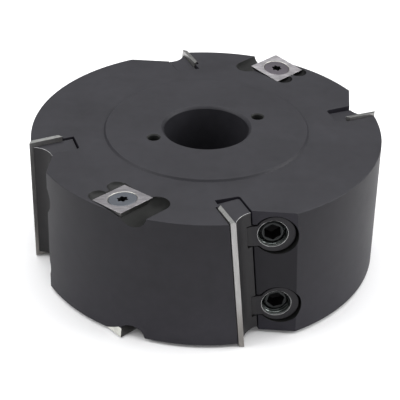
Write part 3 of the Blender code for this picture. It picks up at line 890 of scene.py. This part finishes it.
def make_wedge(n, az, sign):
    f = frame_of(az, sign)
    out, along = lug_axes(f)
    wedge = new_object(f"wedge_bar_{n}", prism(f, wedge_outline(), -WEDGE_HALF, WEDGE_HALF))
    wedge.data.materials.append(WEDGE)
    for k, w in enumerate(LUG_WS):
        centre = lug_point(f, w) - f[1] * w
        step = block(f, NECK_U - LUG_U, 1.0, w - NECK_HALF - 0.35, w + NECK_HALF + 0.35, centre, along, (-6.0, 0.0))
        boolean(wedge, cutter(step, f"step_{n}{k}", None, (WEDGE,)))
        for m, s in enumerate((-1, 1)):
            mid = w + s * (NECK_HALF + 0.17)
            slit = block(f, NECK_U - LUG_U, -4.0, mid - 0.2, mid + 0.2, centre, along, (-5.0, 1.0))
            # The slit walls take the darker cavity copy, a painted shade.
            boolean(wedge, cutter(slit, f"slit_{n}{k}{m}", None, (CAVITY_SHADE,)))
        neck = block(f, 5.4 - LUG_U, -1.0, w - NECK_HALF, w + NECK_HALF, centre, along, (0.04, LUG_THICK - 0.06))
        boolean(wedge, cutter(neck, f"neck_{n}{k}", None, (LUG,)), "UNION")
        face = lug_point(f, w)
        profile = [(0, 0), (LUG_RAD - 0.45, 0), (LUG_RAD - 0.1, -0.16), (LUG_RAD, -0.5), (LUG_RAD, -LUG_THICK), (0, -LUG_THICK)]
        disc = revolve(face, out, along, profile, 72, math.pi / 72)
        boolean(wedge, cutter(disc, f"lug_{n}{k}", None, (LUG,)), "UNION")
    settle(wedge)
    for k, w in enumerate(LUG_WS):
        face = lug_point(f, w) + along * (HOLE_U - LUG_U) + f[1] * HOLE_W
        hole = threaded(
            face, out, along, HOLE_RAD + 0.1, 0.4, -0.3, -LUG_THICK - 0.6, 56,
            ends=([(0, 1.0), (HOLE_RAD + 1.15, 1.0), (HOLE_RAD + 0.1, -0.05)], [(0, -LUG_THICK - 1.2)]),
        )
        obj = cutter(hole, f"hole_{n}{k}", None, (THREAD, CREST))
        for poly in obj.data.polygons:
            c = Vector(poly.center) / MM - Vector((0, 0, LIFT)) - face
            if (c - out * c.dot(out)).length < HOLE_RAD - 0.12:
                poly.material_index = 1
        boolean(wedge, obj)
    settle(wedge)
    end = slot_of(wedge, BODY)
    for poly in wedge.data.polygons:
        c = Vector(poly.center) / MM - Vector((0, 0, LIFT))
        if abs(poly.normal.dot(f[1])) > 0.98 and abs(abs(c.dot(f[1])) - WEDGE_HALF) < 0.05:
            poly.material_index = end
    return wedge


def wedge_bare(n, az, sign):
    """Bare metal shows on the end arcs, on the tip of the bar and round the screw holes."""
    f = frame_of(az, sign)
    out, along = lug_axes(f)
    mouths = [lug_point(f, w) + along * (HOLE_U - LUG_U) + f[1] * HOLE_W for w in LUG_WS]

    def keep(p):
        u, w, r = (p.dot(d) for d in f)
        if abs(abs(w) - WEDGE_HALF) < 0.25 and u < 8 and r > 53:
            return True
        for m in mouths:
            d = p - m
            if abs(d.dot(out)) < 0.4 and abs((d - out * d.dot(out)).length - HOLE_RAD - 0.1) < 0.35:
                return True
        return False

    return keep


for n, az, sign in STATIONS[2:]:
    wedge = make_wedge(n, az, sign)
    smooth(wedge)
    worn_edges(wedge, 0.1, EDGE, wedge_bare(n, az, sign), 2, 40)
    twin = turned_copy(wedge, f"wedge_bar_{n - 2}", 180)
    for obj, number in ((wedge, n), (twin, n - 2)):
        stand_for(obj, f"wedge_{number}")


def make_set_screw(name, f, w, turned, sink):
    out, along = lug_axes(f)
    face = lug_point(f, w) + along * (HOLE_U - LUG_U) + f[1] * HOLE_W
    top = face - out * (SET_TOP + sink)
    bm = threaded(
        top, out, along, SET_RAD, 0.5, SET_FACE_R - SET_RAD - 0.1, -SET_LEN + 0.9 + sink, 56,
        fade=0.4,
        ends=([(0, 0), (SET_FACE_R, 0), (SET_FACE_R + 0.25, -0.25)], [(SET_RAD - 1.0, -SET_LEN + sink), (0, -SET_LEN + sink)]),
    )
    screw = new_object(name, bm)
    screw.data.materials.append(SCREW)
    corner = SET_AF / math.sqrt(3)
    profile = [(0, 1.0), (corner, 1.0), (corner, -SET_SOCKET), (0, -SET_SOCKET - 0.9)]
    # The hex socket walls take the near-black copy, a painted shade.
    boolean(screw, cutter(revolve(top, out, along, profile, 6, math.radians(turned)), f"hex_{name}", None, (SOCKET_SHADE,)))
    profile = [(0, 0.5), (corner + 0.42, 0.5), (corner - 0.2, -0.12), (0, -0.12)]
    boolean(screw, cutter(revolve(top, out, along, profile, 48), f"mouth_{name}", None, (SCREW,)))
    settle(screw)
    smooth(screw)
    return screw


for n, az, sign in STATIONS:
    f = frame_of(az, sign)
    for k, w in enumerate(LUG_WS):
        name = f"set_screw_{n}{'ab'[k]}"
        screw = make_set_screw(name, f, w, SET_TURNS[k], SET_SINKS[k])
        stand_for(screw, f"wedge_screw_{n}{'ab'[k]}")


# ---------------------------------------------------------------- spurs and their screws
def star_prism(c, x, y, z, top, bottom, points=72):
    bm = bmesh.new()
    low, high = [], []
    for k in range(points):
        a = 2 * math.pi * k / points
        rad = STAR_R * (0.86 + 0.14 * math.cos(6 * a))
        p = c + x * (rad * math.cos(a)) + y * (rad * math.sin(a))
        low.append(bm.verts.new(p + z * bottom))
        high.append(bm.verts.new(p + z * top))
    bm.faces.new(low[::-1])
    bm.faces.new(high)
    for k in range(points):
        m = (k + 1) % points
        bm.faces.new((low[k], low[m], high[m], high[k]))
    return bm


for name, az, side in SPURS:
    c, x, y, z = spur_frame(az, side)
    plate = new_object(f"spur_plate_{name}", slab(c, x, y, z, SPUR_SIDE / 2, SPUR_SIDE / 2 - SPUR_DRAFT, 0.0, -SPUR_T))
    plate.data.materials.append(SPUR)
    plate.data.materials.append(SPUR_SHADE_FLANK)
    plate.data.materials.append(SPUR_HIGHLIGHT_FLANK)
    inward = Matrix.Rotation(math.radians(az), 3, "Z") @ Vector((GULLET_X, GULLET_Y, 0)) - Vector((c.x, c.y, 0))
    # Flanks that face the gullet and those of the upper spurs get the painted shade; the other flanks of the lower
    # spurs get the painted highlight.
    for poly in plate.data.polygons:
        if abs(poly.normal.dot(z)) < 0.95:
            poly.material_index = 2 if side < 0 and poly.normal.dot(inward.normalized()) < 0.5 else 1
    profile = [
        (0, 1.0),
        (SPUR_SINK_R + 0.3, 1.0),
        (SPUR_SINK_R, 0.0),
        (SPUR_SINK_R - 0.08, -0.3),
        (SPUR_HOLE_R, -2.0),
        (SPUR_HOLE_R, -SPUR_T - 1),
        (0, -SPUR_T - 1),
    ]
    boolean(plate, cutter(revolve(c, z, x, profile, 72), f"sink_{name}", None, (SINK,)))
    settle(plate)
    smooth(plate, 20)

    def plate_bare(p, c=c, z=z):
        return (p - c).dot(z) > -0.2 and abs((p - c).length - SPUR_SINK_R) < 0.4

    worn_edges(plate, 0.07, SINK, plate_bare, 2, 30)
    stand_for(plate, f"spur_{name}")

    profile = [
        (0, -0.05),
        (SPUR_HEAD_R - 0.1, -0.05),
        (SPUR_HEAD_R, -0.14),
        (SPUR_HEAD_R - 0.03, -0.25),
        (2.4, -2.1),
        (2.3, -2.6),
        (2.3, -SPUR_SCREW_LEN + 0.5),
        (1.9, -SPUR_SCREW_LEN),
        (0, -SPUR_SCREW_LEN),
    ]
    screw = new_object(f"spur_bolt_{name}", revolve(c, z, x, profile, 64))
    screw.data.materials.append(SPUR_SCREW_DARK if name == "top_2" else SPUR_SCREW)
    # The star socket walls take the near-black copy, a painted shade.
    boolean(screw, cutter(star_prism(c, x, y, z, 0.5, -2.2), f"star_{name}", None, (SOCKET_SHADE,)))
    settle(screw)
    smooth(screw)
    soften(screw, 0.05, 2, 40)
    stand_for(screw, f"spur_screw_{name}")

for obj in list(CUTTERS.all_objects):
    bpy.data.objects.remove(obj, do_unlink=True)
for col in list(CUTTERS.children):
    bpy.data.collections.remove(col)
bpy.data.collections.remove(CUTTERS)


# ---------------------------------------------------------------- floor, light, camera
def floor():
    bm = bmesh.new()
    bmesh.ops.create_grid(bm, x_segments=1, y_segments=1, size=3.0)
    mesh = bpy.data.meshes.new("floor")
    bm.to_mesh(mesh)
    bm.free()
    obj = bpy.data.objects.new("floor", mesh)
    scene_collection.objects.link(obj)
    mat, nt, bsdf = tree_of("pale floor")
    n = Nodes(nt)
    speck = n.noise(n.coords(), 40.0, 3.0, 0.5)
    n.link(n.ramp(speck, ((0.3, (0.925, 0.925, 0.93)), (0.7, (0.935, 0.935, 0.94)))), bsdf.inputs["Base Color"])
    bsdf.inputs["Roughness"].default_value = 0.9
    bsdf.inputs["Specular IOR Level"].default_value = 0.1
    mesh.materials.append(mat)
    return obj


floor()


def area(name, location, target, size, power, color=(1, 1, 1)):
    light = bpy.data.lights.new(name, "AREA")
    light.shape = "RECTANGLE"
    light.size, light.size_y = size
    light.energy = power
    light.color = color
    obj = bpy.data.objects.new(name, light)
    obj.location = location
    obj.rotation_mode = "QUATERNION"
    obj.rotation_quaternion = (Vector(target) - Vector(location)).to_track_quat("-Z", "Y")
    scene_collection.objects.link(obj)
    return obj


area("overhead softbox", (0.0, 0.28, 1.22), (0, 0.05, 0.03), (1.9, 1.7), 24)
area("left softbox", (-1.2, -0.2, 0.9), (0, 0, 0.03), (0.9, 0.9), 10)
area("right softbox", (1.25, 0.0, 0.64), (0, 0, 0.03), (0.9, 0.9), 12.5)
area("front softbox", (0.15, -1.35, 0.6), (0, 0, 0.02), (1.3, 0.9), 5)

world = bpy.data.worlds.new("studio")
bpy.context.scene.world = world
world.use_nodes = True
background = world.node_tree.nodes["Background"]
background.inputs["Color"].default_value = (0.98, 0.98, 1.0, 1)
background.inputs["Strength"].default_value = 0.27

camera_data = bpy.data.cameras.new("camera")
camera_data.sensor_width = 36.0
camera_data.lens = 1296.4 / 400 * 36
camera_data.clip_start, camera_data.clip_end = 0.05, 20
camera = bpy.data.objects.new("camera", camera_data)
scene_collection.objects.link(camera)
bpy.context.scene.camera = camera
DISTANCE, ELEVATION, YAW, PITCH_TURN, ROLL = 0.47168, 31.876, -0.226, 0.592, 0.995
e = math.radians(ELEVATION)
place_of = Vector((0, -DISTANCE * math.cos(e), DISTANCE * math.sin(e)))
forward = -place_of.normalized()
right = Vector((1, 0, 0))
up = right.cross(forward)
rows = Matrix((right, -up, forward))
yaw, pitch, roll = (math.radians(v) for v in (YAW, PITCH_TURN, ROLL))
turn_y = Matrix(((math.cos(yaw), 0, -math.sin(yaw)), (0, 1, 0), (math.sin(yaw), 0, math.cos(yaw))))
turn_x = Matrix(((1, 0, 0), (0, math.cos(pitch), -math.sin(pitch)), (0, math.sin(pitch), math.cos(pitch))))
turn_z = Matrix(((math.cos(roll), -math.sin(roll), 0), (math.sin(roll), math.cos(roll), 0), (0, 0, 1)))
full = turn_z @ turn_x @ turn_y @ rows
axes = Matrix((full[0], -Vector(full[1]), -Vector(full[2]))).transposed()
camera.matrix_world = Matrix.Translation(place_of + Vector((0, 0, LIFT * MM))) @ axes.to_4x4()

bpy.context.scene.view_settings.view_transform = "Standard"
